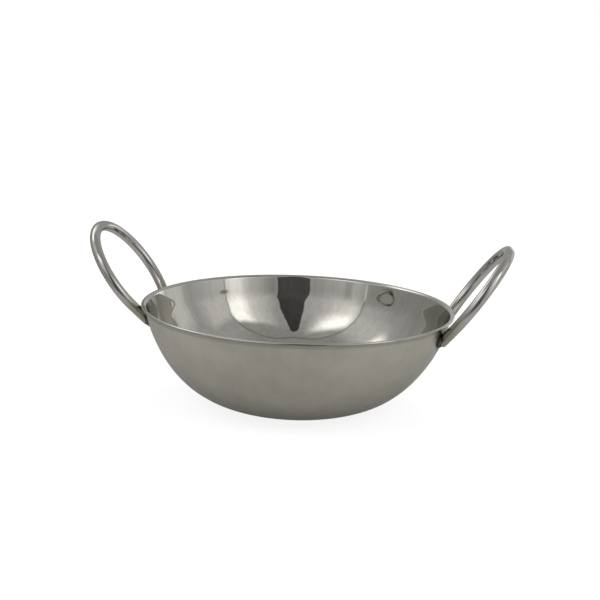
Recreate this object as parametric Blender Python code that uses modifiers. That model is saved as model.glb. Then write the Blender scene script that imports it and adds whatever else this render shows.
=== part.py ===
"""Two-handled steel kadai dish: a pressed round bowl with a flat lip and two welded wire loops.

Metres, +Z up. The dish stands on its flat base, whose middle is the origin, and the loops lie over
the +X and -X sides.
"""

import math

import bmesh
import bpy
import numpy as np
from mathutils import Matrix, Vector

# Bowl, measured on its outer face
RIM_RADIUS = 0.0900
BOWL_HEIGHT = 0.0572
BASE_RADIUS = 0.0327
SHEET = 0.0010
LIP_WIDTH = 0.0020
LIP_BEND = 0.0012
LIP_EDGE_ROUND = 0.0003
WALL_TOP_ANGLE = math.radians(77.0)
LOWER_FULLNESS = 0.350
UPPER_FULLNESS = 0.790

# Wire loops
WIRE_RADIUS = 0.0030
LOOP_RADIUS = 0.0330
LOOP_TILT = math.radians(54.0)
LOOP_RISE = 0.0153
LEG_ANGLE = math.radians(-30.0)
WIRE_END_ROUND = 0.0006

# Fits and welds
LIP_CLEARANCE = 0.0007
SEAT_GAP = 0.0003
END_STANDOFF = 0.0006
BEAD_LENGTH = 0.0080
BEAD_WIDTH = 0.0088
BEAD_HEIGHT = 0.0024
BEAD_LEAD = -0.0012

# Facets
TURN_STEPS = 72
WALL_SEGMENTS = 14
BEND_SEGMENTS = 4
EDGE_SEGMENTS = 2
LOOP_STEP = math.radians(6.0)
LEG_POINTS = 5
WIRE_BEVEL_RESOLUTION = 4
BEAD_SEGMENTS = 20
BEAD_RINGS = 12
WALL_SAMPLES = 400
MERGE = 0.00001

# Where the wall's outer face ends and the lip's bend begins
WALL_TOP_RADIUS = RIM_RADIUS - LIP_WIDTH
WALL_TOP_Z = BOWL_HEIGHT - SHEET - LIP_BEND * (1 - math.cos(WALL_TOP_ANGLE))


def clear_scene():
    for item in list(bpy.data.objects):
        bpy.data.objects.remove(item, do_unlink=True)


def new_collection(name):
    collection = bpy.data.collections.new(name)
    bpy.context.scene.collection.children.link(collection)
    return collection


def steel(name, colour, roughness):
    material = bpy.data.materials.new(name)
    material.use_nodes = True
    shader = material.node_tree.nodes["Principled BSDF"]
    shader.inputs["Base Color"].default_value = (*colour, 1)
    shader.inputs["Metallic"].default_value = 1
    shader.inputs["Roughness"].default_value = roughness
    return material


def outer_wall(count):
    """Points (r, z) up the wall's outer face and the outward normal at each, base edge to lip bend."""
    run = WALL_TOP_RADIUS - BASE_RADIUS
    top_slope = np.array([math.cos(WALL_TOP_ANGLE), math.sin(WALL_TOP_ANGLE)])
    start = np.array([BASE_RADIUS, 0.0])
    end = np.array([WALL_TOP_RADIUS, WALL_TOP_Z])
    start_pull = start + np.array([LOWER_FULLNESS * run, 0.0])
    end_pull = end - UPPER_FULLNESS * WALL_TOP_Z * top_slope
    t = np.linspace(0, 1, count + 1)[:, None]
    points = (
        (1 - t) ** 3 * start
        + 3 * t * (1 - t) ** 2 * start_pull
        + 3 * t**2 * (1 - t) * end_pull
        + t**3 * end
    )
    slopes = (
        (1 - t) ** 2 * (start_pull - start)
        + 2 * t * (1 - t) * (end_pull - start_pull)
        + t**2 * (end - end_pull)
    )
    slopes /= np.linalg.norm(slopes, axis=1)[:, None]
    normals = np.stack([slopes[:, 1], -slopes[:, 0]], axis=1)
    return points, normals


def arc(centre, radius, start, end, segments):
    """Points on an arc in the (r, z) plane, from one angle to another."""
    angles = np.linspace(start, end, segments + 1)
    return [(centre[0] + radius * math.cos(a), centre[1] + radius * math.sin(a)) for a in angles]


def bowl_profile():
    """Closed section of the sheet, from the floor's middle up the inside, over the lip and down outside."""
    points, normals = outer_wall(WALL_SEGMENTS)
    inside = points - SHEET * normals
    bend_centre = points[-1] + LIP_BEND * normals[-1]
    bend_start = math.pi - (math.pi / 2 - WALL_TOP_ANGLE)
    bend_inside = arc(bend_centre, LIP_BEND + SHEET, bend_start, math.pi / 2, BEND_SEGMENTS)
    bend_outside = arc(bend_centre, LIP_BEND, math.pi / 2, bend_start, BEND_SEGMENTS)
    edge_round = min(LIP_EDGE_ROUND, 0.4 * SHEET)
    edge_r = RIM_RADIUS - edge_round
    top_edge = arc((edge_r, BOWL_HEIGHT - edge_round), edge_round, math.pi / 2, 0, EDGE_SEGMENTS)
    under = BOWL_HEIGHT - SHEET + edge_round
    bottom_edge = arc((edge_r, under), edge_round, 0, -math.pi / 2, EDGE_SEGMENTS)
    profile = [(0.0, SHEET)]
    profile += [tuple(point) for point in inside[:-1]]
    profile += bend_inside + top_edge + bottom_edge + bend_outside
    profile += [tuple(point) for point in points[-2::-1]]
    profile.append((0.0, 0.0))
    return profile


def turned(name, profile, collection):
    """Solid of revolution about Z from a section in the XZ plane."""
    mesh = bpy.data.meshes.new(name)
    mesh.from_pydata([(r, 0.0, z) for r, z in profile], [(i, i + 1) for i in range(len(profile) - 1)], [])
    body = bpy.data.objects.new(name, mesh)
    collection.objects.link(body)
    screw = body.modifiers.new("Turn", "SCREW")
    screw.axis = "Z"
    screw.angle = 2 * math.pi
    screw.steps = TURN_STEPS
    screw.render_steps = TURN_STEPS
    screw.use_merge_vertices = True
    screw.merge_threshold = MERGE
    screw.use_smooth_shade = True
    return body


def wall_cutter(collection):
    """The space that the bowl fills below its lip, grown by the gap that the wires and beads keep to it."""
    points, normals = outer_wall(WALL_SEGMENTS)
    grown = points + SEAT_GAP * normals
    profile = [(0.0, grown[-1][1])]
    profile += [tuple(point) for point in grown[::-1]]
    profile.append((0.0, -SEAT_GAP))
    return as_cutter(turned("wall_cutter", profile, collection))


def as_cutter(body):
    body.hide_render = True
    body.display_type = "WIRE"
    return body


def cut(body, cutter):
    difference = body.modifiers.new("Cut by " + cutter.name, "BOOLEAN")
    difference.operation = "DIFFERENCE"
    difference.solver = "EXACT"
    difference.object = cutter


def loop_path(leg_length):
    """Half of the wire's centre line in the loop's own plane, (across, up), crown first, then down the leg."""
    angles = np.linspace(math.pi / 2, LEG_ANGLE, round((math.pi / 2 - LEG_ANGLE) / LOOP_STEP) + 1)
    ring = np.stack([LOOP_RADIUS * np.cos(angles), LOOP_RISE + LOOP_RADIUS * np.sin(angles)], axis=1)
    down = np.array([math.sin(LEG_ANGLE), -math.cos(LEG_ANGLE)])
    leg = ring[-1] + np.linspace(0, leg_length, LEG_POINTS + 1)[1:, None] * down
    return np.concatenate([ring, leg])


def path_in_section(path, foot_radius):
    """Distance from the dish's axis and height of points on a loop whose plane meets the lip's top there."""
    out = foot_radius + path[:, 1] * math.cos(LOOP_TILT)
    return np.hypot(out, path[:, 0]), BOWL_HEIGHT + path[:, 1] * math.sin(LOOP_TILT)


def solve(grows, low, high):
    """The value between low and high where a rising function passes zero."""
    for _ in range(40):
        middle = (low + high) / 2
        if grows(middle) > 0:
            high = middle
        else:
            low = middle
    return (low + high) / 2


def lip_gap(foot_radius):
    """How far the wire clears the lip's edge, beyond the named clearance."""
    path = loop_path(BOWL_HEIGHT / 2)
    fine = np.concatenate([np.linspace(a, b, 20, endpoint=False) for a, b in zip(path[:-1], path[1:])])
    radius, height = path_in_section(fine, foot_radius)
    beside = np.maximum(0, radius - RIM_RADIUS)
    above = np.maximum(0, height - BOWL_HEIGHT)
    below = np.maximum(0, BOWL_HEIGHT - SHEET - height)
    return np.hypot(beside, above + below).min() - WIRE_RADIUS - LIP_CLEARANCE


def wall_distance(radius, height):
    """Distance of a point from the wall's outer face, less than zero inside it."""
    points, normals = outer_wall(WALL_SAMPLES)
    away = np.array([radius, height]) - points
    nearest = np.linalg.norm(away, axis=1).argmin()
    return float(away[nearest] @ normals[nearest])


def leg_overrun(leg_length, foot_radius):
    """How far a leg's end has gone past its standoff from the wall."""
    radius, height = path_in_section(loop_path(leg_length)[-1:], foot_radius)
    return END_STANDOFF - wall_distance(radius[0], height[0])


def wire_mesh(name, radius, leg_length):
    """Round wire along the whole loop, in the loop's plane, with ground ends."""
    end_round = WIRE_END_ROUND
    half = [(point, radius) for point in loop_path(leg_length - end_round)]
    down = Vector((math.sin(LEG_ANGLE), -math.cos(LEG_ANGLE)))
    last = Vector(half[-1][0])
    for turn in (math.pi / 4, math.pi / 2):
        tip = last + down * end_round * math.sin(turn)
        half.append((tip, radius - end_round * (1 - math.cos(turn))))
    mirrored = [((-point[0], point[1]), size) for point, size in half]
    whole = mirrored[:0:-1] + half
    curve = bpy.data.curves.new(name, "CURVE")
    curve.dimensions = "3D"
    curve.bevel_depth = 1.0
    curve.bevel_resolution = WIRE_BEVEL_RESOLUTION
    curve.use_fill_caps = True
    spline = curve.splines.new("POLY")
    spline.points.add(len(whole) - 1)
    for place, (point, size) in zip(spline.points, whole):
        place.co = (point[0], point[1], 0.0, 1.0)
        place.radius = size
    guide = bpy.data.objects.new(name, curve)
    bpy.context.scene.collection.objects.link(guide)
    evaluated = guide.evaluated_get(bpy.context.evaluated_depsgraph_get())
    mesh = bpy.data.meshes.new_from_object(evaluated)
    bpy.data.objects.remove(guide)
    tidy = bmesh.new()
    tidy.from_mesh(mesh)
    bmesh.ops.remove_doubles(tidy, verts=tidy.verts, dist=MERGE)
    bmesh.ops.recalc_face_normals(tidy, faces=tidy.faces)
    tidy.to_mesh(mesh)
    tidy.free()
    mesh.shade_smooth()
    mesh.set_sharp_from_angle(angle=math.radians(40))
    mesh.name = name
    return mesh


def loop_matrix(side, foot_radius):
    """Places a loop's plane: its x across the dish, its y leaning out and up. Side is +1 or -1 along X."""
    across = Vector((0.0, -side, 0.0))
    up = Vector((side * math.cos(LOOP_TILT), 0.0, math.sin(LOOP_TILT)))
    out = across.cross(up)
    turn = Matrix((across, up, out)).transposed().to_4x4()
    return Matrix.Translation((side * foot_radius, 0.0, BOWL_HEIGHT)) @ turn


def bead_matrix(loop_place, end_side, leg_length):
    """Seats a weld bead on the wall round a wire's end, its x down the wall and its z off the wall."""
    point = loop_path(leg_length)[-1]
    ahead = Vector((end_side * math.sin(LEG_ANGLE), -math.cos(LEG_ANGLE), 0.0))
    end = loop_place @ Vector((end_side * point[0], point[1], 0.0))
    direction = loop_place.to_3x3() @ ahead
    radius = math.hypot(end.x, end.y)
    points, normals = outer_wall(WALL_SAMPLES)
    nearest = np.linalg.norm(points - np.array([radius, end.z]), axis=1).argmin()
    outward = Vector((end.x / radius, end.y / radius, 0.0)) * normals[nearest][0]
    outward += Vector((0.0, 0.0, normals[nearest][1]))
    foot = end - outward * outward.dot(end - wall_point(end, points[nearest]))
    along = (direction - outward * direction.dot(outward)).normalized()
    across = outward.cross(along)
    turn = Matrix((along, across, outward)).transposed().to_4x4()
    return Matrix.Translation(foot + along * BEAD_LEAD) @ turn


def wall_point(near, section_point):
    """A point of the wall's section, turned to lie beside a point in space."""
    radius = math.hypot(near.x, near.y)
    return Vector((near.x / radius * section_point[0], near.y / radius * section_point[0], section_point[1]))


def bead_mesh():
    mesh = bpy.data.meshes.new("weld_bead")
    shape = bmesh.new()
    bmesh.ops.create_uvsphere(shape, u_segments=BEAD_SEGMENTS, v_segments=BEAD_RINGS, radius=1.0)
    size = Matrix.Diagonal((BEAD_LENGTH / 2, BEAD_WIDTH / 2, BEAD_HEIGHT, 1.0))
    bmesh.ops.transform(shape, matrix=size, verts=shape.verts)
    shape.to_mesh(mesh)
    shape.free()
    mesh.shade_smooth()
    return mesh


def place(name, mesh, matrix, collection, material):
    body = bpy.data.objects.new(name, mesh)
    body.matrix_world = matrix
    collection.objects.link(body)
    if material:
        body.data.materials.append(material)
    return body


def build():
    clear_scene()
    dish = new_collection("kadai_dish")
    cutters = new_collection("cutters")

    bowl = turned("bowl", bowl_profile(), dish)
    bowl.data.materials.append(steel("spun_steel", (0.50, 0.49, 0.45), 0.25))
    wall = wall_cutter(cutters)

    foot_radius = solve(lip_gap, RIM_RADIUS - LOOP_RADIUS, RIM_RADIUS + LOOP_RADIUS)
    leg_length = solve(lambda length: leg_overrun(length, foot_radius), 0.0, BOWL_HEIGHT)
    for side, side_name in ((-1, "left"), (1, "right")):
        loop_place = loop_matrix(side, foot_radius)
        wire = wire_mesh("handle_" + side_name, WIRE_RADIUS, leg_length)
        wire_steel = steel("wire_steel_" + side_name, (0.56, 0.55, 0.52), 0.18)
        handle = place("handle_" + side_name, wire, loop_place, dish, wire_steel)
        cut(handle, wall)

        grown = wire_mesh("wire_cutter_" + side_name, WIRE_RADIUS + SEAT_GAP, leg_length + SEAT_GAP)
        wire_cutter = as_cutter(place("wire_cutter_" + side_name, grown, loop_place, cutters, None))
        for end_side, end_name in ((-side, "back"), (side, "front")):
            name = f"weld_{side_name}_{end_name}"
            bead_place = bead_matrix(loop_place, end_side, leg_length)
            bead = place(name, bead_mesh(), bead_place, dish, steel(name, (0.38, 0.37, 0.35), 0.45))
            cut(bead, wall)
            cut(bead, wire_cutter)


build()
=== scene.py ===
"""Looks of a two-handled steel kadai dish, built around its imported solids.

Metres, +Z up, the middle of the dish's flat base at the origin, the loops over the X axis.
"""

import math

import bmesh
import bpy
import numpy as np
from mathutils import Matrix, Vector, noise


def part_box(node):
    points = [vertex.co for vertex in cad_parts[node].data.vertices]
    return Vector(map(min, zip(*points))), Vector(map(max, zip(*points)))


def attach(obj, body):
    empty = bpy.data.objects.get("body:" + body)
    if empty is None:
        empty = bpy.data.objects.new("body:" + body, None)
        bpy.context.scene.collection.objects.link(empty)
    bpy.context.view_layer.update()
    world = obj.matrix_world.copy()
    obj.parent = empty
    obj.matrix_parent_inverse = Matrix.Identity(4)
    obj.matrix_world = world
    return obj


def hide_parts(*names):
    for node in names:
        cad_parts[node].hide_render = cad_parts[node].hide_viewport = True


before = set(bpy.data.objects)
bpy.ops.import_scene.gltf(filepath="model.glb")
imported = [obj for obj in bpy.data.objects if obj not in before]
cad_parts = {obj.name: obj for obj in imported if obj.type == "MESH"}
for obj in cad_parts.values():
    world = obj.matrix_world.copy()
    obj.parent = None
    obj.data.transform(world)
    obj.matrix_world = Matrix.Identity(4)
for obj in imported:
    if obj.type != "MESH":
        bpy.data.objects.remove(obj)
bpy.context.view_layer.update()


# Bowl. Pressed and spun from one round of 1 mm stainless sheet, with a flat base and a flat lip
# turned outwards at the mouth. The outside is left satin, the inside and the lip are buffed bright.

RIM_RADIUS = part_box("bowl")[1].x
BOWL_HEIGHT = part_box("bowl")[1].z
BASE_RADIUS = 0.0327
SHEET = 0.0010
LIP_WIDTH = 0.0020
LIP_BEND = 0.0012
LIP_TOP_ROUND = 0.00070
LIP_UNDER_ROUND = 0.00025
WALL_TOP_ANGLE = math.radians(77.0)
LOWER_FULLNESS = 0.350
UPPER_FULLNESS = 0.790
WALL_TOP = np.array([
    RIM_RADIUS - LIP_WIDTH,
    BOWL_HEIGHT - SHEET - LIP_BEND * (1 - math.cos(WALL_TOP_ANGLE)),
])

# The forming roller leaves a faint ring below the lip: the wall swings out and in by a tenth of a
# millimetre, which only shows in what it mirrors
RING_SWING = 0.00010
RING_PITCH = 0.018
RING_START = 0.034
RING_FULL = 0.043

# Welding the loops on has drawn the upper wall out along the loops' axis, more so on the right
DRAWN_RIGHT = 0.00135
DRAWN_LEFT = 0.00045
DRAWN_FROM = 0.012
DRAWN_FULL = 0.048

TURN_STEPS = 360
WALL_SEGMENTS = 102
FLOOR_RINGS = 14
BEND_SEGMENTS = 12
EDGE_SEGMENTS = 8

# Pressed sheet is never quite true: broad shallow waves that fade out at the base and at the lip
WAVES = ((0.034, 0.000045), (0.013, 0.000024), (0.0055, 0.000007))
WAVE_FADE_LOW = 0.0060
WAVE_FADE_HIGH = 0.0090

# The satin outside: its colours, with a painted shade colour for under its lip, its marks of use,
# its turning lines and the depth of its grain
SATIN_LIGHT = (0.545, 0.522, 0.455)
SATIN_DARK = (0.440, 0.420, 0.372)
SATIN_PAINTED_SHADE = (0.220, 0.210, 0.186)
SATIN_ROUGH = 0.34
SATIN_MARKS = {"Cloud Size": 0.012, "Speck Share": 0.09}
SATIN_LINES = {"Across": 230.0, "Along": 60.0}
SATIN_PATCH_SCALE = 26.0
SATIN_GRAIN = 0.0000040
EDGE_TINT = (0.75, 0.75, 0.75, 1.0)

# The buffed inside and lip, in the same way
BRIGHT_LIGHT = (0.525, 0.510, 0.468)
BRIGHT_DARK = (0.480, 0.465, 0.424)
BUFFED_ROUGH = 0.02
BUFFED_MARKS = {"Cloud Size": 0.018, "Speck Share": 0.04}
BUFFED_LINES = {"Across": 300.0, "Along": 36.0}
BUFFED_GRAIN = 0.0000008
BUFFED_EDGE_TINT = (1.0, 1.0, 1.0, 1.0)

# What the marks of use on all the steel have in common
CLOUD_RANGE = (0.28, 0.72)
SPECK_SCALE = 620.0
SPECK_LEVEL = 0.80
SPECK_EDGE = 0.06
GRAIN_SCALE = 3200.0
BROAD_LINE_SCALE = 0.12

# The dark patch round each weld on the outside, the same at all four welds: partly the stain that
# welding leaves and partly painted shade of the crevice between wire and wall
WELD_OXIDE_AND_SHADE = (0.06, 0.054, 0.047)
WELD_PLACE = (0.0850, 0.0222, 0.0475)
STAIN_AND_SHADE_CORE = 0.0052
STAIN_AND_SHADE_EDGE = 0.0092
STAIN_AND_SHADE_RAGGED = 0.0016

# Painted shade: a darker band on the outside right under the lip, where the lip's overhang shades
# the wall
SHADE_BAND_FROM = 0.0530
SHADE_BAND_FULL = 0.0550
SHADE_BAND_SHARE = 0.45

# Painted glow: the inside glows for rays past the last counted bounce, in place of light that
# bounces on in the bowl's ends after the renderer stops counting
LAST_BOUNCE = 5.0
BOUNCE_BLUR = 0.6
CORNER_GLOW = 0.30
CORNER_GLOW_COLOUR = (1.0, 0.98, 0.93, 1.0)


def outer_wall(count):
    """Points (r, z) up the wall's outer face from base to lip, and the outward normal at each."""
    start = np.array([BASE_RADIUS, 0.0])
    start_pull = start + np.array([LOWER_FULLNESS * (WALL_TOP[0] - BASE_RADIUS), 0.0])
    top_slope = np.array([math.cos(WALL_TOP_ANGLE), math.sin(WALL_TOP_ANGLE)])
    end_pull = WALL_TOP - UPPER_FULLNESS * WALL_TOP[1] * top_slope
    t = np.linspace(0, 1, count + 1)[:, None]
    points = (
        (1 - t) ** 3 * start
        + 3 * t * (1 - t) ** 2 * start_pull
        + 3 * t**2 * (1 - t) * end_pull
        + t**3 * WALL_TOP
    )
    heights = points[:, 1]
    share = np.clip((heights - RING_START) / (RING_FULL - RING_START), 0, 1)
    swing = RING_SWING * np.sin(2 * math.pi * (heights - WALL_TOP[1]) / RING_PITCH)
    points[:, 0] += share * share * (3 - 2 * share) * swing
    slopes = np.gradient(points, axis=0)
    slopes /= np.linalg.norm(slopes, axis=1)[:, None]
    return points, np.stack([slopes[:, 1], -slopes[:, 0]], axis=1)


def drawn_out(spoke_x, height):
    """How much farther out the wall lies at a height, on the spoke with this X part."""
    share = min(1.0, max(0.0, (height - DRAWN_FROM) / (DRAWN_FULL - DRAWN_FROM)))
    reach = DRAWN_RIGHT if spoke_x > 0 else DRAWN_LEFT
    return reach * spoke_x * spoke_x * share * share * (3 - 2 * share)


def arc(centre, radius, start, end, segments):
    """Points on an arc in the (r, z) plane, from one angle to another."""
    angles = np.linspace(start, end, segments + 1)
    across = centre[0] + radius * np.cos(angles)
    up = centre[1] + radius * np.sin(angles)
    return np.stack([across, up], axis=1)


def floor_line(radius, height):
    """Rings of the flat middle, from next to the axis to just short of the wall."""
    radii = np.linspace(0, radius, FLOOR_RINGS + 1)[1:-1]
    return np.stack([radii, np.full_like(radii, height)], axis=1)


def bowl_section():
    """The sheet's section in two runs: up the inside and over the lip, then down the outside."""
    wall, outward = outer_wall(WALL_SEGMENTS)
    inside = wall - SHEET * outward
    outwards = np.array([math.sin(WALL_TOP_ANGLE), -math.cos(WALL_TOP_ANGLE)])
    bend_centre = WALL_TOP + LIP_BEND * outwards
    bend_start = math.pi / 2 + WALL_TOP_ANGLE
    top_centre = (RIM_RADIUS - LIP_TOP_ROUND, BOWL_HEIGHT - LIP_TOP_ROUND)
    under_centre = (RIM_RADIUS - LIP_UNDER_ROUND, BOWL_HEIGHT - SHEET + LIP_UNDER_ROUND)
    bright = np.concatenate([
        floor_line(inside[0][0], SHEET),
        inside[:-1],
        arc(bend_centre, LIP_BEND + SHEET, bend_start, math.pi / 2, BEND_SEGMENTS),
        arc(top_centre, LIP_TOP_ROUND, math.pi / 2, 0, EDGE_SEGMENTS),
    ])
    satin = np.concatenate([
        arc(under_centre, LIP_UNDER_ROUND, 0, -math.pi / 2, EDGE_SEGMENTS),
        arc(bend_centre, LIP_BEND, math.pi / 2, bend_start, BEND_SEGMENTS),
        wall[-2::-1],
        floor_line(wall[0][0], 0.0)[::-1],
    ])
    return bright, satin


def wave(x, y, z):
    """How far the pressed sheet stands off its true form at a point."""
    low = min(1.0, z / WAVE_FADE_LOW)
    high = min(1.0, max(0.0, BOWL_HEIGHT - SHEET - z) / WAVE_FADE_HIGH)
    height = sum(depth * noise.noise(Vector((x, y, z)) / length) for length, depth in WAVES)
    return height * low * low * (3 - 2 * low) * high * high * (3 - 2 * high)


def smooth_mesh(name, vertices, faces, laid_flat):
    """A smooth mesh with its own flat map, a vector at each vertex, for the material to read."""
    mesh = bpy.data.meshes.new(name)
    mesh.from_pydata([tuple(vertex) for vertex in vertices], [], faces)
    attribute = mesh.attributes.new("laid_flat", "FLOAT_VECTOR", "POINT")
    attribute.data.foreach_set("vector", np.asarray(laid_flat, np.float32).ravel())
    mesh.shade_smooth()
    mesh.update()
    return mesh


def new_object(name, data):
    """An object in the scene that shows a mesh, a lamp or a camera."""
    made = bpy.data.objects.new(name, data)
    bpy.context.scene.collection.objects.link(made)
    return made


def turned_bowl(name):
    """The sheet's section turned about Z, its inside first, with the sheet's own flat map."""
    bright, satin = bowl_section()
    section = np.concatenate([bright, satin])
    steps = np.diff(section, axis=0)
    run = np.concatenate([[0], np.cumsum(np.hypot(steps[:, 0], steps[:, 1]))])
    slope = np.gradient(section, axis=0)
    slope /= np.linalg.norm(slope, axis=1)[:, None]
    rings = len(section)
    vertices, laid = [], []
    for turn in np.arange(TURN_STEPS) * 2 * math.pi / TURN_STEPS:
        cosine, sine = math.cos(turn), math.sin(turn)
        for index in range(rings):
            radius, height = section[index]
            off = wave(radius * cosine, radius * sine, height)
            facing = 1 if index < len(bright) else -1
            radius += facing * off * -slope[index][1] + drawn_out(cosine, height)
            height += facing * off * slope[index][0]
            vertices.append((radius * cosine, radius * sine, height))
            laid.append((cosine, sine, run[index]))
    faces = []
    for step in range(TURN_STEPS):
        here, there = step * rings, (step + 1) % TURN_STEPS * rings
        for index in range(rings - 1):
            faces.append((here + index, there + index, there + index + 1, here + index + 1))
    middle_inside, middle_outside = len(vertices), len(vertices) + 1
    vertices += [(0, 0, SHEET), (0, 0, 0)]
    laid += [(0, 0, 0), (0, 0, run[-1])]
    for step in range(TURN_STEPS):
        here, there = step * rings, (step + 1) % TURN_STEPS * rings
        faces.append((middle_inside, there, here))
        faces.append((middle_outside, here + rings - 1, there + rings - 1))
    mesh = smooth_mesh(name, vertices, faces, laid)
    outside = [min(face) % rings >= len(bright) for face in faces[:TURN_STEPS * (rings - 1)]]
    outside += [False, True] * TURN_STEPS
    mesh.polygons.foreach_set("material_index", np.array(outside, np.int32))
    return new_object(name, mesh)


def add_node(tree, kind, inputs=None, **settings):
    """Adds a node, sets it up, and joins or fills its inputs."""
    node = tree.nodes.new(kind)
    for name, value in settings.items():
        setattr(node, name, value)
    for name, value in (inputs or {}).items():
        if isinstance(value, bpy.types.NodeSocket):
            tree.links.new(value, node.inputs[name])
        else:
            node.inputs[name].default_value = value
    return node


def calculate(tree, operation, *values):
    """One Math node's result."""
    return add_node(tree, "ShaderNodeMath", dict(enumerate(values)), operation=operation).outputs[0]


def vector_math(tree, operation, *values):
    """One Vector Math node's results."""
    inputs = dict(enumerate(values))
    return add_node(tree, "ShaderNodeVectorMath", inputs, operation=operation).outputs


def added_up(tree, total, *parts):
    """A value with others added to it, each times its own weight."""
    for value, weight in parts:
        total = calculate(tree, "MULTIPLY_ADD", value, weight, total)
    return total


def ranged(tree, value, low, high, to_low=0.0, to_high=1.0, smooth=True):
    """A value carried from one range to another and held at its ends."""
    inputs = {
        "Value": value, "From Min": low, "From Max": high, "To Min": to_low, "To Max": to_high}
    curve = "SMOOTHSTEP" if smooth else "LINEAR"
    return add_node(tree, "ShaderNodeMapRange", inputs, interpolation_type=curve).outputs[0]


def blended(tree, factor, first, second):
    """Two colours mixed by a value."""
    mix = add_node(tree, "ShaderNodeMix", {"Factor": factor}, data_type="RGBA")
    for socket, colour in ((mix.inputs[6], first), (mix.inputs[7], second)):
        if isinstance(colour, bpy.types.NodeSocket):
            tree.links.new(colour, socket)
        else:
            socket.default_value = (*colour, 1.0)
    return mix.outputs[2]


def noise_at(tree, vector, scale, detail=2.0, roughness=0.5):
    """A noise texture's value, 0 to 1."""
    inputs = {"Vector": vector, "Scale": scale, "Detail": detail, "Roughness": roughness}
    return add_node(tree, "ShaderNodeTexNoise", inputs).outputs["Fac"]


def new_group(name, inputs, outputs):
    """An empty shader node group with these value or vector inputs and value outputs."""
    group = bpy.data.node_groups.new(name, "ShaderNodeTree")
    for label, kind in inputs:
        group.interface.new_socket(label, in_out="INPUT", socket_type=kind)
    for label in outputs:
        group.interface.new_socket(label, in_out="OUTPUT", socket_type="NodeSocketFloat")
    given = group.nodes.new("NodeGroupInput").outputs
    result = group.nodes.new("NodeGroupOutput").inputs
    return group, given, result


def drawn_lines_group():
    """Fine lines that run one way: the sheet's or the wire's own map, squeezed across its run."""
    group, given, result = new_group(
        "drawn_lines",
        [("Map", "NodeSocketVector"), ("Across", "NodeSocketFloat"), ("Along", "NodeSocketFloat")],
        ["Fine", "Broad"],
    )
    apart = add_node(group, "ShaderNodeSeparateXYZ", {"Vector": given["Map"]}).outputs
    squeezed = add_node(group, "ShaderNodeCombineXYZ", {
        "X": calculate(group, "MULTIPLY", apart["X"], given["Across"]),
        "Y": calculate(group, "MULTIPLY", apart["Y"], given["Across"]),
        "Z": calculate(group, "MULTIPLY", apart["Z"], given["Along"]),
    }).outputs[0]
    group.links.new(noise_at(group, squeezed, 1.0, 4.0, 0.7), result["Fine"])
    group.links.new(noise_at(group, squeezed, BROAD_LINE_SCALE), result["Broad"])
    return group


def handling_group():
    """Marks of use by place in metres: soft clouds, small dull specks and a fine grain."""
    group, given, result = new_group(
        "handling",
        [
            ("Place", "NodeSocketVector"),
            ("Cloud Size", "NodeSocketFloat"),
            ("Speck Share", "NodeSocketFloat"),
        ],
        ["Cloud", "Speck", "Grain"],
    )
    scale = calculate(group, "DIVIDE", 1.0, given["Cloud Size"])
    cloud = noise_at(group, given["Place"], scale, 4.0, 0.55)
    group.links.new(ranged(group, cloud, *CLOUD_RANGE), result["Cloud"])
    spots = noise_at(group, given["Place"], SPECK_SCALE, 1.0, 0.4)
    edge = calculate(group, "SUBTRACT", SPECK_LEVEL, given["Speck Share"])
    end = calculate(group, "ADD", edge, SPECK_EDGE)
    group.links.new(ranged(group, spots, edge, end), result["Speck"])
    group.links.new(noise_at(group, given["Place"], GRAIN_SCALE, 2.0, 0.6), result["Grain"])
    return group


drawn_lines = drawn_lines_group()
handling = handling_group()


def steel_material(name, roughness, edge_tint):
    """A bare steel shader, its constants on its own sockets, and its maps of place and of run."""
    material = bpy.data.materials.new(name)
    material.use_nodes = True
    tree = material.node_tree
    shader = tree.nodes["Principled BSDF"]
    shader.inputs["Metallic"].default_value = 1.0
    shader.inputs["Roughness"].default_value = roughness
    shader.inputs["Specular Tint"].default_value = edge_tint
    place = add_node(tree, "ShaderNodeTexCoord").outputs["Object"]
    run = add_node(tree, "ShaderNodeAttribute", attribute_name="laid_flat").outputs["Vector"]
    return material, tree, shader, place, run


def placed(tree, group, inputs):
    """A node group put into a material with its own values."""
    return add_node(tree, "ShaderNodeGroup", inputs, node_tree=group).outputs


def join(tree, shader, **links):
    """Joins results to the shader's sockets; underscores stand for spaces."""
    for name, source in links.items():
        tree.links.new(source, shader.inputs[name.replace("_", " ")])


def bump(tree, height, distance):
    """The surface's direction after a relief of this depth in metres."""
    inputs = {"Height": height, "Distance": distance, "Strength": 1.0}
    return add_node(tree, "ShaderNodeBump", inputs).outputs[0]


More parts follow.
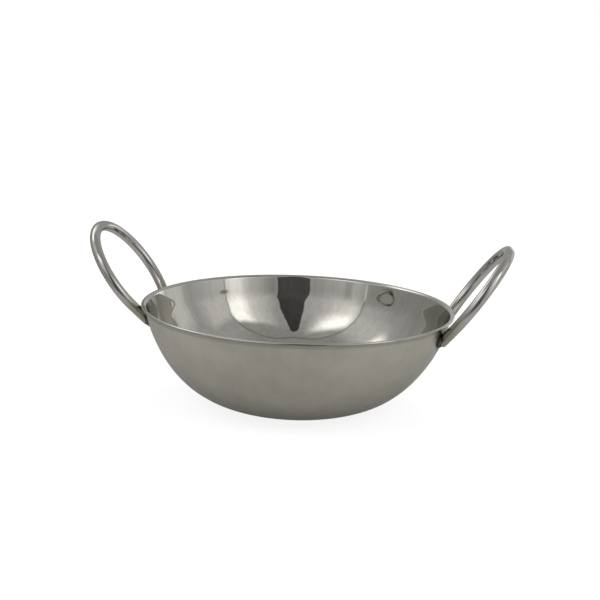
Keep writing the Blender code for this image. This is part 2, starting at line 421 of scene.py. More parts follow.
def satin_outside():
    """Spun satin steel: soft clouds, fine turning lines, weld stains that are partly painted shade,
    and a band of painted shade under the lip.
    """
    material, tree, shader, place, run = steel_material("satin_steel", 0.30, EDGE_TINT)
    marks = placed(tree, handling, {"Place": place, **SATIN_MARKS})
    lines = placed(tree, drawn_lines, {"Map": run, **SATIN_LINES})
    patches = noise_at(tree, place, SATIN_PATCH_SCALE)
    tone = added_up(tree, 0.02, (marks["Cloud"], 0.46), (patches, 0.42), (lines["Broad"], 0.26))
    colour = blended(tree, tone, SATIN_DARK, SATIN_LIGHT)
    dull = calculate(tree, "MULTIPLY", marks["Speck"], 0.5)
    colour = blended(tree, dull, colour, SATIN_DARK)
    folded = vector_math(tree, "ABSOLUTE", place)[0]
    # A dark patch round each weld: partly weld stain, partly painted shade where the wire meets the
    # wall
    from_weld = vector_math(tree, "DISTANCE", folded, WELD_PLACE)["Value"]
    ragged = added_up(tree, from_weld, (marks["Cloud"], STAIN_AND_SHADE_RAGGED))
    colour = blended(tree, ranged(tree, ragged, STAIN_AND_SHADE_EDGE, STAIN_AND_SHADE_CORE), colour, WELD_OXIDE_AND_SHADE)
    # Painted shade: the wall is darkened in a band right under the lip
    up = add_node(tree, "ShaderNodeSeparateXYZ", {"Vector": place}).outputs["Z"]
    painted_shade = calculate(tree, "MULTIPLY", ranged(tree, up, SHADE_BAND_FROM, SHADE_BAND_FULL), SHADE_BAND_SHARE)
    colour = blended(tree, painted_shade, colour, SATIN_PAINTED_SHADE)
    rough = added_up(tree, SATIN_ROUGH, (marks["Cloud"], -0.07), (lines["Fine"], 0.05))
    relief = bump(tree, added_up(tree, marks["Grain"], (lines["Fine"], 0.5)), SATIN_GRAIN)
    join(tree, shader, Base_Color=colour, Roughness=rough, Normal=relief)
    return material


def mirror_inside():
    """Buffed steel: nearly a mirror, with faint buffing lines, a few dull specks and a painted glow
    past the last counted bounce.
    """
    material, tree, shader, place, run = steel_material("buffed_steel", 0.06, BUFFED_EDGE_TINT)
    marks = placed(tree, handling, {"Place": place, **BUFFED_MARKS})
    lines = placed(tree, drawn_lines, {"Map": run, **BUFFED_LINES})
    tone = added_up(tree, 0.1, (marks["Cloud"], 0.5), (lines["Broad"], 0.5))
    colour = blended(tree, tone, BRIGHT_DARK, BRIGHT_LIGHT)
    rough = added_up(tree, BUFFED_ROUGH, (marks["Cloud"], 0.03), (marks["Speck"], 0.08))
    relief = bump(tree, added_up(tree, lines["Fine"], (marks["Grain"], 0.3)), BUFFED_GRAIN)
    # Painted glow for rays past the last counted bounce
    depth = add_node(tree, "ShaderNodeLightPath").outputs["Ray Depth"]
    beyond = ranged(tree, depth, LAST_BOUNCE - BOUNCE_BLUR, LAST_BOUNCE + BOUNCE_BLUR)
    painted_glow = calculate(tree, "MULTIPLY", beyond, CORNER_GLOW)
    shader.inputs["Emission Color"].default_value = CORNER_GLOW_COLOUR
    join(tree, shader, Base_Color=colour, Roughness=rough, Normal=relief, Emission_Strength=painted_glow)
    return material


bowl = turned_bowl("kadai_bowl")
bowl.data.materials.append(mirror_inside())
bowl.data.materials.append(satin_outside())
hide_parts("bowl")
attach(bowl, "root")


# Wire loops. Two rings of 6 mm drawn stainless wire that run out into straight legs, bent cold and
# polished. They lean outwards over the lip, and each leg's ground end is set against the wall.

WIRE_RADIUS = 0.0030
LOOP_RADIUS = 0.0330
LEG_ANGLE = math.radians(-30.0)
LEFT_RISE = 0.01528
LEFT_TILT = math.radians(54.0)
LEFT_LEG = 0.0145
RIGHT_RISE = 0.0133
RIGHT_TILT = math.radians(55.4)
RIGHT_LEG = 0.0122
RIGHT_FARTHER_OUT = 0.0011
FOOT_RADIUS = (
    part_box("handle_right")[1].x - WIRE_RADIUS - (LEFT_RISE + LOOP_RADIUS) * math.cos(LEFT_TILT)
)
LOOPS = {
    "left": (-1, LEFT_RISE, LEFT_TILT, LEFT_LEG, FOOT_RADIUS),
    "right": (1, RIGHT_RISE, RIGHT_TILT, RIGHT_LEG, FOOT_RADIUS + RIGHT_FARTHER_OUT),
}
WIRE_END_ROUND = 0.0008
SEAT_DEPTH = 0.0003

RING_STEP = math.radians(2.0)
LEG_POINTS = 18
END_POINTS = 6
WIRE_SIDES = 48
WALL_SAMPLES = 400

WIRE_LIGHT = (0.555, 0.545, 0.515)
WIRE_DARK = (0.455, 0.442, 0.412)
WIRE_STRAW = (0.405, 0.375, 0.315)
WIRE_ROUGH = 0.07
WIRE_MARKS = {"Cloud Size": 0.007, "Speck Share": 0.08}
WIRE_LINES = {"Across": 22.0, "Along": 260.0}
WIRE_GRAIN = 0.0000020

# Each wire's end is black on its outer side, partly from welding heat and partly as painted shade
# where the wire meets the wall, and welding tints it straw further up
WELD_HEAT_AND_SHADE = (0.075, 0.067, 0.056)
HEAT_SHADE_CORE = 0.0050
HEAT_SHADE_REACH = 0.0110
HEAT_RAGGED = 0.003
HEAT_SHADE_SIDE = (-0.25, 0.55)
STRAW_CORE = 0.009
STRAW_REACH = 0.030


def wire_stations(rise, leg_length):
    """Centre line of half a wire in the loop's plane, (across, up), and the wire's radius there."""
    angles = np.linspace(math.pi / 2, LEG_ANGLE, round((math.pi / 2 - LEG_ANGLE) / RING_STEP) + 1)
    ring = np.stack([LOOP_RADIUS * np.cos(angles), rise + LOOP_RADIUS * np.sin(angles)], axis=1)
    down = np.array([math.sin(LEG_ANGLE), -math.cos(LEG_ANGLE)])
    leg = ring[-1] + np.linspace(0, leg_length - WIRE_END_ROUND, LEG_POINTS + 1)[1:, None] * down
    turns = np.linspace(0, math.pi / 2, END_POINTS + 1)[1:]
    tip = leg[-1] + WIRE_END_ROUND * np.sin(turns)[:, None] * down
    straight = np.concatenate([ring, leg])
    sizes = np.full(len(straight), WIRE_RADIUS)
    tip_sizes = WIRE_RADIUS - WIRE_END_ROUND * (1 - np.cos(turns))
    return np.concatenate([straight, tip]), np.concatenate([sizes, tip_sizes])


def loop_matrix(side, tilt, foot_radius):
    """Places a loop's plane: its x across the dish, its y out and up. Side is 1 right, -1 left."""
    across = Vector((0.0, -side, 0.0))
    up = Vector((side * math.cos(tilt), 0.0, math.sin(tilt)))
    turn = Matrix((across, up, across.cross(up))).transposed().to_4x4()
    return Matrix.Translation((side * foot_radius, 0.0, BOWL_HEIGHT)) @ turn


def seat_on_wall(point, depth):
    """A point inside the bowl's wall is brought out to just under its face; others stay."""
    radius = math.hypot(point.x, point.y)
    if point.z > WALL_TOP[1]:
        return point
    face = np.interp(point.z, wall_heights, wall_radii) + drawn_out(point.x / radius, point.z)
    face -= depth
    if radius >= face:
        return point
    return Vector((point.x * face / radius, point.y * face / radius, point.z))


def wire_loop(side_name):
    """One bent wire, its ends closed and seated on the wall, with the wire's own straight map."""
    side, rise, tilt, leg_length, foot_radius = LOOPS[side_name]
    name = "wire_loop_" + side_name
    half, sizes = wire_stations(rise, leg_length)
    line = np.concatenate([half[:0:-1] * [-1, 1], half])
    sizes = np.concatenate([sizes[:0:-1], sizes])
    steps = np.diff(line, axis=0)
    run = np.concatenate([[0], np.cumsum(np.hypot(steps[:, 0], steps[:, 1]))])
    slope = np.gradient(line, axis=0)
    slope /= np.linalg.norm(slope, axis=1)[:, None]
    matrix = loop_matrix(side, tilt, foot_radius)
    vertices, laid = [], []
    for point, size, forward, along in zip(line, sizes, slope, run):
        sideways = np.array([-forward[1], forward[0]])
        for turn in np.arange(WIRE_SIDES) * 2 * math.pi / WIRE_SIDES:
            off = size * math.cos(turn) * sideways
            local = Vector((point[0] + off[0], point[1] + off[1], size * math.sin(turn)))
            vertices.append(seat_on_wall(matrix @ local, SEAT_DEPTH))
            laid.append((math.cos(turn), math.sin(turn), min(along, run[-1] - along)))
    faces = []
    for ring in range(len(line) - 1):
        for turn in range(WIRE_SIDES):
            here, there = ring * WIRE_SIDES, (ring + 1) * WIRE_SIDES
            beside = (turn + 1) % WIRE_SIDES
            faces.append((here + turn, here + beside, there + beside, there + turn))
    faces.append(tuple(reversed(range(WIRE_SIDES))))
    faces.append(tuple(range((len(line) - 1) * WIRE_SIDES, len(line) * WIRE_SIDES)))
    return new_object(name, smooth_mesh(name, vertices, faces, laid))


def polished_wire():
    """Drawn and polished wire with lines along it, and at its ends the welding heat's colours, with
    painted shade in the black.
    """
    material, tree, shader, place, run = steel_material("drawn_wire", 0.10, EDGE_TINT)
    marks = placed(tree, handling, {"Place": place, **WIRE_MARKS})
    lines = placed(tree, drawn_lines, {"Map": run, **WIRE_LINES})
    tone = added_up(tree, 0.2, (marks["Cloud"], 0.4), (lines["Broad"], 0.4))
    colour = blended(tree, tone, WIRE_DARK, WIRE_LIGHT)
    mapped = add_node(tree, "ShaderNodeSeparateXYZ", {"Vector": run}).outputs
    ragged = added_up(tree, mapped["Z"], (marks["Cloud"], HEAT_RAGGED))
    straw = ranged(tree, ragged, STRAW_REACH, STRAW_CORE)
    colour = blended(tree, straw, colour, WIRE_STRAW)
    # Painted shade: the black on one side of the wire's end, partly welding heat
    heat_and_shade = ranged(tree, ragged, HEAT_SHADE_CORE, HEAT_SHADE_REACH, 1.0, 0.0)
    heat_and_shade = calculate(tree, "MULTIPLY", heat_and_shade, ranged(tree, mapped["Y"], *HEAT_SHADE_SIDE))
    colour = blended(tree, heat_and_shade, colour, WELD_HEAT_AND_SHADE)
    rough = added_up(tree, WIRE_ROUGH, (marks["Cloud"], 0.05), (marks["Speck"], 0.10))
    rough = added_up(tree, rough, (heat_and_shade, 0.30), (straw, 0.10))
    relief = bump(tree, added_up(tree, lines["Fine"], (marks["Grain"], 0.5)), WIRE_GRAIN)
    join(tree, shader, Base_Color=colour, Roughness=rough, Normal=relief)
    return material


wall_points, wall_outward = outer_wall(WALL_SAMPLES)
wall_radii, wall_heights = wall_points[:, 0], wall_points[:, 1]
wire_steel = polished_wire()
for side_name in LOOPS:
    loop = wire_loop(side_name)
    loop.data.materials.append(wire_steel)
    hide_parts("handle_" + side_name)
    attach(loop, "root")


# Weld beads. One small bead of melted steel under each wire end, laid in a few overlapping ripples
# that hold the wire to the wall, left dull and dark, partly from the heat and partly as painted
# shade.

BEAD_LENGTH = 0.0080
BEAD_WIDTH = 0.0088
BEAD_HEIGHT = 0.0023
BEAD_LEAD = -0.0012
RIPPLES = 5
RIPPLE_BOW = 0.35
RIPPLE_DEPTH = 0.12
LUMP_DEPTH = 0.08
LUMP_SCALE = 1.7
LUMPS_BY_SIDE = 3.1
LUMPS_BY_END = 5.3
BEAD_DETAIL = 5

# Both colours are darkened partly by the heat and partly as painted shade
BEAD_LIGHT = (0.20, 0.185, 0.160)
BEAD_DARK = (0.040, 0.036, 0.031)
BEAD_ROUGH = 0.46
BEAD_MARKS = {"Cloud Size": 0.0022, "Speck Share": 0.12}
BEAD_GRAIN = 0.00001


def finished(shape, name):
    """A mesh made from a shape that is no longer worked on."""
    mesh = bpy.data.meshes.new(name)
    shape.to_mesh(mesh)
    shape.free()
    return mesh


def weld_bead(name, side_name, end_side):
    """A rippled bead on the wall round a wire's end, its long way down the wall."""
    side, rise, tilt, leg_length, foot_radius = LOOPS[side_name]
    matrix = loop_matrix(side, tilt, foot_radius)
    across, up = wire_stations(rise, leg_length)[0][-1]
    end = matrix @ Vector((end_side * across, up, 0.0))
    spoke = Vector((end.x, end.y, 0.0)).normalized()
    radius = end.dot(spoke) - drawn_out(spoke.x, end.z)
    index = int(np.hypot(wall_radii - radius, wall_heights - end.z).argmin())
    level_part, upright_part = wall_outward[index]
    outward = (spoke * level_part + Vector((0, 0, upright_part))).normalized()
    leg = matrix.to_3x3() @ Vector((end_side * math.sin(LEG_ANGLE), -math.cos(LEG_ANGLE), 0))
    along = (leg - outward * leg.dot(outward)).normalized()
    foot = spoke * (wall_radii[index] + drawn_out(spoke.x, wall_heights[index]))
    foot.z = wall_heights[index]
    turn = Matrix((along, outward.cross(along), outward)).transposed().to_4x4()
    matrix = Matrix.Translation(foot + along * BEAD_LEAD) @ turn
    shape = bmesh.new()
    bmesh.ops.create_icosphere(shape, subdivisions=BEAD_DETAIL, radius=1.0)
    own_lumps = Vector((side * LUMPS_BY_SIDE, end_side * LUMPS_BY_END, 0.0))
    for vertex in shape.verts:
        at = vertex.co.copy()
        bowed = at.x + at.y * at.y * RIPPLE_BOW
        ripple = 1 + RIPPLE_DEPTH * abs(math.sin(math.pi * RIPPLES * bowed / 2))
        lump = 1 + LUMP_DEPTH * noise.noise(at * LUMP_SCALE + own_lumps)
        size = Vector((BEAD_LENGTH / 2, BEAD_WIDTH / 2, BEAD_HEIGHT * ripple)) * lump
        local = Vector((at.x * size.x, at.y * size.y, at.z * size.z))
        vertex.co = seat_on_wall(matrix @ local, SEAT_DEPTH)
    mesh = finished(shape, name)
    mesh.shade_smooth()
    return new_object(name.replace("weld", "bead"), mesh)


def dull_bead():
    """Weld metal, darkened partly by heat and partly as painted shade: dull, dark between its
    lighter patches, and rough with specks.
    """
    material, tree, shader, place, _ = steel_material("weld_metal", 0.40, EDGE_TINT)
    marks = placed(tree, handling, {"Place": place, **BEAD_MARKS})
    colour = blended(tree, marks["Cloud"], BEAD_DARK, BEAD_LIGHT)
    rough = added_up(tree, BEAD_ROUGH, (marks["Cloud"], -0.14))
    relief = bump(tree, added_up(tree, marks["Grain"], (marks["Speck"], 0.6)), BEAD_GRAIN)
    join(tree, shader, Base_Color=colour, Roughness=rough, Normal=relief)
    return material


weld_steel = dull_bead()
for side_name in LOOPS:
    side = LOOPS[side_name][0]
    for end_side, end_name in ((-side, "back"), (side, "front")):
        node_name = f"weld_{side_name}_{end_name}"
        bead = weld_bead(node_name, side_name, end_side)
        bead.data.materials.append(weld_steel)
        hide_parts(node_name)
        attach(bead, "root")


# Studio. A plain white sweep under and behind the dish, soft lamps above it, and a white cloth tent
# that only shows in the steel. The tent is sewn from panels of grey-white cloth, with two bright
# strip boxes and a few lamps behind them, and has a tapered slot in front.

STUDIO_RADIUS = 3.0
ROUND_STEPS = 96
SWEEP_WHITE = (0.90, 0.90, 0.90, 1.0)
SWEEP_GLOW = 0.78
SWEEP_GLOW_LEVEL = 1.10
AMBIENT = 0.72
LAMP_POWER = 9.0
LAMP_SIZE = 1.0
LAMP_PLACES = {
    "lamp_left": (-0.9, -0.8, 1.3),
    "lamp_right": (1.0, -0.7, 1.2),
    "lamp_back": (0.1, 1.1, 1.4),
}

TENT_RADIUS = 0.60
TENT_CENTRE = 0.05
TENT_HEM = -0.10
TENT_FOLD = 3.0
FOLD_SCALE = 8.5
PLEAT_SCALE = (35, 35, 3)
PLEAT_RANGE = (0.3, 0.7)
PLEAT_DARK = 0.93
PLEAT_LIGHT = 1.07

# The tent's floor cloth: its levels, lighter beside the dish than under it as painted shade, and
# how far from the dish's axis they hold, in metres. Shares of sidewaysness run from 0 in front and
# behind to 1 at the sides, or from -1 left to 1 right.
FLOOR_NEAR = 0.44
FLOOR_FRONT_LIFT = 0.04
FLOOR_SIDE_LIFT = 0.11
FLOOR_LIFT_ASIDE = (0.15, 0.85)
FLOOR_LIFT_REACH = (0.045, 0.085, 0.110, 0.240)
FLOOR_FAR_LEFT = 0.32
FLOOR_FAR_RIGHT = 0.50
FLOOR_FAR_RIGHTWARD = (-0.3, 0.6)
FLOOR_FAR_FRONT = 0.17
FLOOR_FRONT_BEARINGS = (-28, -8, 32, 52)
FLOOR_NEAR_REACH = 0.150
FLOOR_FAR_REACH = 0.340
FLOOR_CLOTH_GLOW = 0.35
FLOOR_CLOTH_DROP = 0.0002

# From here on a bearing is an angle from straight in front, right positive, and a height is one
# above the floor, both in degrees. Four of them are where a light begins, is full, fades and ends.
ROOF_LEVEL = 0.40
ROOF_FROM = 46
ROOF_FULL = 68
SIDE_LEVEL = 0.52
FRONT_LEVEL = 0.50
FRONT_FADE_FROM = 54
FRONT_FADE_FULL = 72
FRONT_FADE_LEAN = 0.15

# The front panel: a rounded frame with a stitched seam all round, brightly piped low on its left
FRONT_MIDDLE = 11.6
FRONT_TOP = 72.7
FRONT_ROUND = 4.0
FRONT_HALF_LOW = 65.0
FRONT_HALF_HIGH = 69.5
FRONT_WIDENS_FROM = 14
FRONT_WIDENS_TO = 40
FRAME_INSIDE = 0.990
FRAME_OUTSIDE = 1.010
SEAM_REACH = (0.975, 0.997, 1.003, 1.022)
SEAM_DARK = 0.60
SEAM_BRIGHT = 2.20
PIPED_BEARING = (-20, -40)
PIPED_HEIGHT = (24, 14)

# The two strip boxes behind the front panel: each gains over a haze and then in its core
STRIP_RIGHT = 1.45
RIGHT_POST = 65.0
RIGHT_HAZE = (0.40, 30, 60)
RIGHT_CORE = (54, 68)
RIGHT_TOP_LEAN = 0.35
RIGHT_TOP = (49, 43)
RIGHT_FOOT_LEAN = -0.60
RIGHT_FOOT = (2, 34)
RIGHT_FOOT_LEVEL = 0.30
STRIP_LEFT = 1.60
LEFT_POST = -34.0
LEFT_LEAN = -0.35
LEFT_HAZE = (0.38, 12, 50)
LEFT_CORE = (34, 48)
LEFT_TOP = (60, 50)
LEFT_OUTER = (-62, -44)
LEFT_INNER_LEAN = -0.18
LEFT_INNER_ABOUT = 42.0
LEFT_INNER = (-4, -38)

# Lighter and darker places of the cloth: level, bearings and heights. Some reach all the way from
# the back or from the floor.
FROM_BACK = (-200, -199)
FROM_FLOOR = (-100, -99)
FRONT_PATCHES = {
    "middle": (0.13, (*FROM_BACK, 10, 30), (14, 32, 40, 56)),
    "under_right_strip": (-0.25, (22, 34, 50, 60), (*FROM_FLOOR, 14, 30)),
    "lighter_pleat": (0.12, (-48, -43, -43, -38), (*FROM_FLOOR, 18, 28)),
    "darker_pleat": (-0.10, (-43, -37, -37, -31), (*FROM_FLOOR, 18, 28)),
    "beside_left_strip": (0.08, (-37, -30, -20, -4), (4, 14, 24, 38)),
}
SIDE_PATCHES = {
    "glow_left": (0.28, (-112, -95, -58, -40), (20, 40, 44, 64)),
    "lamp_back_left": (1.45, (-175, -125, -100, -88), (30, 42, 48, 58)),
    "glow_right": (0.30, (60, 82, 96, 116), (5, 23, 33, 41)),
    "glow_back_right": (0.33, (114, 129, 136, 152), (-14, 0, 16, 30)),
    "lamp_back_right": (0.90, (143, 152, 157, 166), (-6, 4, 14, 24)),
}
ALL_ROUND_PATCHES = {
    "low_left": (-0.17, (-165, -130, -10, 15), (*FROM_FLOOR, 4, 36)),
}

# The slot: a tall tapered gap in the front panel, slightly bowed, with nothing lit behind it
SLOT_LOW_LEVEL = 0.19
SLOT_HIGH_LEVEL = 0.13
SLOT_LEVEL_HEIGHTS = (20, 40)
SLOT_MIDDLE = 12.1
SLOT_BOW = 1.7
SLOT_BOW_HEIGHTS = (20, 30, 36, 52)
SLOT_HALF = 14.6
SLOT_HALF_HIGH = 6.2
SLOT_TAPER_FROM = 30
SLOT_TAPER_TO = 62
SLOT_FOOT = 5.4
SLOT_FOOT_HEIGHT = 12
SLOT_TIP = 64.7
SLOT_TIP_STEEPNESS = 2.0
SLOT_TIP_ROUND = -0.6
SLOT_EDGE = 0.7


def stage_piece(name, mesh, material):
    """A piece of the studio, which isn't part of the dish."""
    piece = new_object(name, mesh)
    mesh.materials.append(material)
    return piece


def only_in_steel(piece):
    """Keeps a card out of everything but mirror images."""
    piece.visible_camera = False
    piece.visible_diffuse = False
    piece.visible_transmission = False
    piece.visible_shadow = False


def disc(name):
    """A flat round as wide as the studio."""
    shape = bmesh.new()
    bmesh.ops.create_circle(shape, cap_ends=True, segments=ROUND_STEPS, radius=STUDIO_RADIUS)
    return finished(shape, name)


def bare_material(name):
    """A node material with nothing yet on its output."""
    material = bpy.data.materials.new(name)
    material.use_nodes = True
    tree = material.node_tree
    tree.nodes.remove(tree.nodes["Principled BSDF"])
    return material, tree, tree.nodes["Material Output"].inputs["Surface"]


def glowing_cloth(tree, surface, grey, level, share):
    """Matt cloth that keeps shadows, with a share of it glowing by itself."""
    cloth = add_node(tree, "ShaderNodeBsdfDiffuse", {"Color": grey}).outputs[0]
    glow = add_node(tree, "ShaderNodeEmission", {"Strength": level}).outputs[0]
    mixed = add_node(tree, "ShaderNodeMixShader", {0: share, 1: cloth, 2: glow}).outputs[0]
    tree.links.new(mixed, surface)


def seen_rays(tree):
    """1 for all that the camera sees, also in metal or glass, and 0 for light on the object."""
    path = add_node(tree, "ShaderNodeLightPath").outputs
    both = calculate(tree, "MAXIMUM", path["Is Camera Ray"], path["Is Glossy Ray"])
    return calculate(tree, "MAXIMUM", both, path["Is Transmission Ray"])


def white_sweep():
    """The white floor: it glows for what sees it and only keeps the shadow otherwise."""
    material, tree, surface = bare_material("white_sweep")
    share = calculate(tree, "MULTIPLY", seen_rays(tree), SWEEP_GLOW)
    glowing_cloth(tree, surface, SWEEP_WHITE, SWEEP_GLOW_LEVEL, share)
    return material


def between(tree, value, low, rise, fall, high):
    """1 from rise to fall, easing to 0 at low and at high."""
    rising, falling = ranged(tree, value, low, rise), ranged(tree, value, high, fall)
    return calculate(tree, "MULTIPLY", rising, falling)


def product(tree, *values):
    """Several values multiplied together."""
    result = values[0]
    for value in values[1:]:
        result = calculate(tree, "MULTIPLY", result, value)
    return result


def mixed_value(tree, factor, first, second):
    """Two values mixed by a third."""
    return add_node(tree, "ShaderNodeMix", {"Factor": factor, 2: first, 3: second}).outputs[0]


def leaning(tree, value, slope, other, about):
    """A value that gains with how far another one lies from a certain angle."""
    return added_up(tree, value, (calculate(tree, "SUBTRACT", other, about), slope))


def patched(tree, cloth, patches, bearing, height):
    """A cloth's level with its lighter and darker places put on."""
    for level, bearings, heights in patches.values():
        spot = product(tree, between(tree, bearing, *bearings), between(tree, height, *heights))
        cloth = added_up(tree, cloth, (spot, level))
    return cloth


def compass(tree, spot):
    """A place's bearing and height in degrees, and how far it is from the upright axis."""
    apart = add_node(tree, "ShaderNodeSeparateXYZ", {"Vector": spot}).outputs
    front = calculate(tree, "MULTIPLY", apart["Y"], -1.0)
    bearing = calculate(tree, "DEGREES", calculate(tree, "ARCTAN2", apart["X"], front))
    flat = vector_math(tree, "MULTIPLY", spot, (1, 1, 0))[0]
    away = vector_math(tree, "LENGTH", flat)["Value"]
    height = calculate(tree, "DEGREES", calculate(tree, "ARCTAN2", apart["Z"], away))
    return bearing, height, away


def floor_cloth():
    """The tent's floor: brighter beside the dish than under it, where it keeps a painted shadow,
    and dark towards the open front.
    """
    material, tree, surface = bare_material("floor_cloth")
    bearing, _, away = compass(tree, add_node(tree, "ShaderNodeTexCoord").outputs["Object"])
    rightness = calculate(tree, "SINE", calculate(tree, "RADIANS", bearing))
    aside = calculate(tree, "ABSOLUTE", rightness)
    # Painted shadow: the cloth is lifted beside the dish and left darker under it
    lift = ranged(tree, aside, *FLOOR_LIFT_ASIDE, FLOOR_FRONT_LIFT, FLOOR_SIDE_LIFT)
    lift = calculate(tree, "MULTIPLY", lift, between(tree, away, *FLOOR_LIFT_REACH))
    near = calculate(tree, "ADD", lift, FLOOR_NEAR)
    far = ranged(tree, rightness, *FLOOR_FAR_RIGHTWARD, FLOOR_FAR_LEFT, FLOOR_FAR_RIGHT)
    far = mixed_value(tree, between(tree, bearing, *FLOOR_FRONT_BEARINGS), far, FLOOR_FAR_FRONT)
    shade = mixed_value(tree, ranged(tree, away, FLOOR_NEAR_REACH, FLOOR_FAR_REACH), near, far)
    glowing_cloth(tree, surface, shade, shade, FLOOR_CLOTH_GLOW)
    return material


def front_frame(tree, bearing, height):
    """1 on the tent's rounded front panel, and 1 on its seam all round."""
    half = ranged(
        tree, height, FRONT_WIDENS_FROM, FRONT_WIDENS_TO, FRONT_HALF_LOW, FRONT_HALF_HIGH)
    aside = calculate(tree, "DIVIDE", calculate(tree, "SUBTRACT", bearing, FRONT_MIDDLE), half)
    aside = calculate(tree, "POWER", calculate(tree, "ABSOLUTE", aside), FRONT_ROUND)
    above = calculate(tree, "DIVIDE", calculate(tree, "MAXIMUM", height, 0.0), FRONT_TOP)
    above = calculate(tree, "POWER", above, FRONT_ROUND)
    reach = calculate(tree, "POWER", calculate(tree, "ADD", aside, above), 1 / FRONT_ROUND)
    return ranged(tree, reach, FRAME_OUTSIDE, FRAME_INSIDE), between(tree, reach, *SEAM_REACH)


def lamp_edge(tree, value, haze, core):
    """A strip box's near side: first a haze that gains evenly, then the box itself."""
    share, faint, full = haze
    glow = calculate(tree, "MULTIPLY", ranged(tree, value, faint, full, smooth=False), share)
    return added_up(tree, glow, (ranged(tree, value, *core), 1 - share))


def right_strip(tree, bearing, height):
    """The strip box on the right: it gains to the right, and its top and foot slant."""
    top = leaning(tree, height, RIGHT_TOP_LEAN, bearing, RIGHT_POST)
    foot = leaning(tree, height, RIGHT_FOOT_LEAN, bearing, RIGHT_POST)
    return product(
        tree,
        lamp_edge(tree, bearing, RIGHT_HAZE, RIGHT_CORE),
        ranged(tree, top, *RIGHT_TOP),
        ranged(tree, foot, *RIGHT_FOOT, RIGHT_FOOT_LEVEL, 1.0),
    )


def left_strip(tree, bearing, height):
    """The strip box on the left: it gains upwards to a slanting top."""
    up = leaning(tree, height, LEFT_LEAN, bearing, LEFT_POST)
    inner = leaning(tree, bearing, LEFT_INNER_LEAN, height, LEFT_INNER_ABOUT)
    return product(
        tree,
        ranged(tree, bearing, *LEFT_OUTER),
        ranged(tree, inner, *LEFT_INNER),
        lamp_edge(tree, up, LEFT_HAZE, LEFT_CORE),
        ranged(tree, up, *LEFT_TOP),
    )


def front_panel(tree, bearing, height):
    """The front's cloth, darker towards the roof, with the two strip boxes behind it."""
    top = added_up(tree, height, (bearing, FRONT_FADE_LEAN))
    cloth = ranged(tree, top, FRONT_FADE_FROM, FRONT_FADE_FULL, FRONT_LEVEL, ROOF_LEVEL)
    cloth = patched(tree, cloth, FRONT_PATCHES, bearing, height)
    right, left = right_strip(tree, bearing, height), left_strip(tree, bearing, height)
    return added_up(tree, cloth, (right, STRIP_RIGHT), (left, STRIP_LEFT))


def side_panels(tree, bearing, height):
    """The sides, the back and the roof, each lit from outside in its own place."""
    cloth = ranged(tree, height, ROOF_FROM, ROOF_FULL, SIDE_LEVEL, ROOF_LEVEL)
    return patched(tree, cloth, SIDE_PATCHES, bearing, height)


def open_slot(tree, bearing, height):
    """1 in the tapered slot of the front panel."""
    half = ranged(
        tree, height, SLOT_TAPER_FROM, SLOT_TAPER_TO, SLOT_HALF, SLOT_HALF_HIGH, smooth=False)
    half = calculate(tree, "ADD", half, ranged(tree, height, SLOT_FOOT_HEIGHT, 0, 0.0, SLOT_FOOT))
    bow = between(tree, height, *SLOT_BOW_HEIGHTS)
    middle = added_up(tree, SLOT_MIDDLE, (bow, SLOT_BOW))
    from_middle = calculate(tree, "ABSOLUTE", calculate(tree, "SUBTRACT", bearing, middle))
    below = calculate(tree, "SUBTRACT", SLOT_TIP, height)
    below = calculate(tree, "MULTIPLY", below, SLOT_TIP_STEEPNESS)
    below = added_up(tree, below, (from_middle, SLOT_TIP_ROUND))
    inside = calculate(tree, "MINIMUM", calculate(tree, "SUBTRACT", half, from_middle), below)
    return ranged(tree, inside, -SLOT_EDGE, SLOT_EDGE)


def tent_cloth():
    """The tent's glow over its whole dome."""
    material, tree, surface = bare_material("tent_cloth")
    spot = add_node(tree, "ShaderNodeTexCoord").outputs["Object"]
    bearing, height, _ = compass(tree, spot)
    fold = calculate(tree, "SUBTRACT", noise_at(tree, spot, FOLD_SCALE, 3.0, 0.6), 0.5)
    bearing = added_up(tree, bearing, (fold, TENT_FOLD))
    in_front, seam = front_frame(tree, bearing, height)
    sides = side_panels(tree, bearing, height)
    glow = mixed_value(tree, in_front, sides, front_panel(tree, bearing, height))
    glow = patched(tree, glow, ALL_ROUND_PATCHES, bearing, height)
    piped = product(
        tree, ranged(tree, bearing, *PIPED_BEARING), ranged(tree, height, *PIPED_HEIGHT))
    stitching = mixed_value(tree, piped, SEAM_DARK, SEAM_BRIGHT)
    stitching = mixed_value(tree, seam, 1.0, stitching)
    dark = ranged(tree, height, *SLOT_LEVEL_HEIGHTS, SLOT_LOW_LEVEL, SLOT_HIGH_LEVEL)
    dark = mixed_value(tree, open_slot(tree, bearing, height), 1.0, dark)
    narrow = vector_math(tree, "MULTIPLY", spot, PLEAT_SCALE)[0]
    pleats = noise_at(tree, narrow, 1.0, 3.0, 0.6)
    pleats = ranged(tree, pleats, *PLEAT_RANGE, PLEAT_DARK, PLEAT_LIGHT)
    glow = product(tree, glow, stitching, dark, pleats)
    lit = add_node(tree, "ShaderNodeEmission", {"Strength": glow}).outputs[0]
    tree.links.new(lit, surface)
    return material


def tent_dome():
    """The tent's dome, open below its hem."""
    shape = bmesh.new()
    bmesh.ops.create_uvsphere(
        shape, u_segments=ROUND_STEPS, v_segments=ROUND_STEPS // 2, radius=TENT_RADIUS)
    below = [face for face in shape.faces if face.calc_center_median().z < TENT_HEM]
    bmesh.ops.delete(shape, geom=below, context="FACES")
    return finished(shape, "tent")


def soft_lamp(name, place, size, power):
    """A square softbox aimed at the dish that lights the floor and stays out of the steel."""
    lamp = bpy.data.lights.new(name, "AREA")
    lamp.shape = "SQUARE"
    lamp.size = size
    lamp.energy = power
    holder = new_object(name, lamp)
    holder.location = place
    aim = Vector((0, 0, TENT_CENTRE)) - Vector(place)
    holder.rotation_euler = aim.to_track_quat("-Z", "Y").to_euler()
    holder.visible_glossy = False


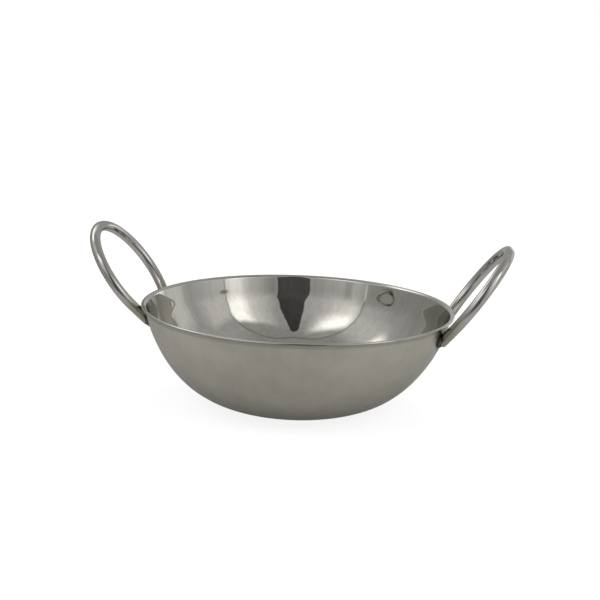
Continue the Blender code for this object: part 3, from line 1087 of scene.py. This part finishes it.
stage_piece("sweep", disc("sweep"), white_sweep())
tent_floor = stage_piece("tent_floor", disc("tent_floor"), floor_cloth())
tent_floor.location.z = FLOOR_CLOTH_DROP
tent = stage_piece("tent", tent_dome(), tent_cloth())
tent.location.z = TENT_CENTRE
only_in_steel(tent_floor)
only_in_steel(tent)

for lamp_name, lamp_place in LAMP_PLACES.items():
    soft_lamp(lamp_name, lamp_place, LAMP_SIZE, LAMP_POWER)

world = bpy.data.worlds.new("studio")
bpy.context.scene.world = world
world.use_nodes = True
sky = world.node_tree
sky_level = ranged(sky, seen_rays(sky), 0, 1, AMBIENT, 1.0, smooth=False)
sky.nodes["Background"].inputs["Color"].default_value = (1, 1, 1, 1)
sky.links.new(sky_level, sky.nodes["Background"].inputs["Strength"])


# Camera. It stands in front, a little to the right, about 0.6 m from the mouth's middle and 13
# degrees above it, with a slight roll. Its aim is off the mouth's middle by a few pixels.

PICTURE_SIDE = 600
SENSOR = 36.0
FOCAL_PIXELS = 1001.2
CAMERA_DISTANCE = 0.5854
CAMERA_BEARING = math.radians(8.73)
CAMERA_HEIGHT = math.radians(12.705)
CAMERA_ROLL = math.radians(-2.029)
AIM_RIGHT = -2.43
AIM_UP = -4.28
FARTHEST_SEEN = 20

mouth = Vector((0, 0, BOWL_HEIGHT))
level = math.cos(CAMERA_HEIGHT)
from_mouth = Vector((
    math.sin(CAMERA_BEARING) * level,
    -math.cos(CAMERA_BEARING) * level,
    math.sin(CAMERA_HEIGHT),
))
forward = -from_mouth
rightward = forward.cross(Vector((0, 0, 1))).normalized()
upward = rightward.cross(forward)
turn = Matrix.Rotation(math.atan2(AIM_RIGHT, FOCAL_PIXELS), 3, upward)
forward, rightward = turn @ forward, turn @ rightward
turn = Matrix.Rotation(-math.atan2(AIM_UP, math.hypot(FOCAL_PIXELS, AIM_RIGHT)), 3, rightward)
forward, upward = turn @ forward, turn @ upward
turn = Matrix.Rotation(CAMERA_ROLL, 3, forward)
rightward, upward = turn @ rightward, turn @ upward

lens = bpy.data.cameras.new("camera")
lens.sensor_width = SENSOR
lens.lens = FOCAL_PIXELS * SENSOR / PICTURE_SIDE
lens.clip_end = FARTHEST_SEEN
camera = new_object("camera", lens)
camera.matrix_world = (
    Matrix.Translation(mouth + from_mouth * CAMERA_DISTANCE)
    @ Matrix((rightward, upward, -forward)).transposed().to_4x4()
)
bpy.context.scene.camera = camera
bpy.context.scene.view_settings.view_transform = "Standard"
